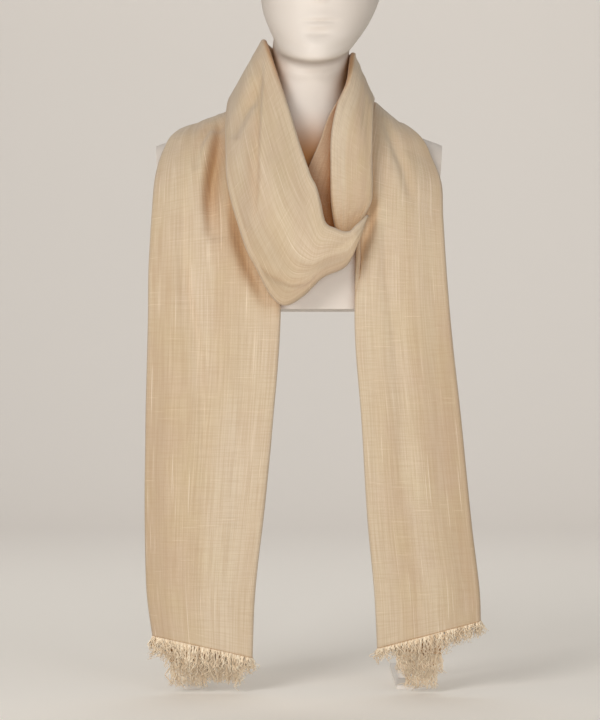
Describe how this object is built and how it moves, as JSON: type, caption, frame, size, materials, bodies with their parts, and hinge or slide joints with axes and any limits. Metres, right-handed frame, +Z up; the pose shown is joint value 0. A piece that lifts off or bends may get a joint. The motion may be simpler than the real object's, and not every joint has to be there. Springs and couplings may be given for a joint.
{
  "type": "linen shawl on display bust",
  "caption": "Folded linen shawl with fringed hems, wound round the neck of a limbless display bust on a slim stand; a front loop drops over the chest and the tails hang in front.",
  "frame": {"origin": "floor level, in the middle of the box round the whole part", "axes": "+Z up, -Y towards the viewer, the way the bust faces, +X to the viewer's right"},
  "size_m": [0.4354, 0.3046, 1.057],
  "materials": {
    "linen": "open plain weave with pale slubs, matt",
    "frayed_linen": "loose frayed yarn, matt",
    "bust_finish": "smooth satin off-white",
    "painted_steel": "satin off-white paint"
  },
  "bodies": {
    "root": {"bust": "bust_finish", "left_socket": "painted_steel", "left_post": "painted_steel", "left_foot": "painted_steel", "right_socket": "painted_steel", "right_post": "painted_steel", "right_foot": "painted_steel", "left_tail": "linen", "right_tail": "linen", "right_strand": "linen", "front_loop": "linen", "throat_layer": "linen", "left_inner_a": "linen", "right_inner_a": "linen", "right_inner_b": "linen", "left_fringe": "frayed_linen", "right_fringe": "frayed_linen", "left_inner_a_fringe": "frayed_linen", "right_inner_a_fringe": "frayed_linen", "right_inner_b_fringe": "frayed_linen"}
  },
  "joints": []
}
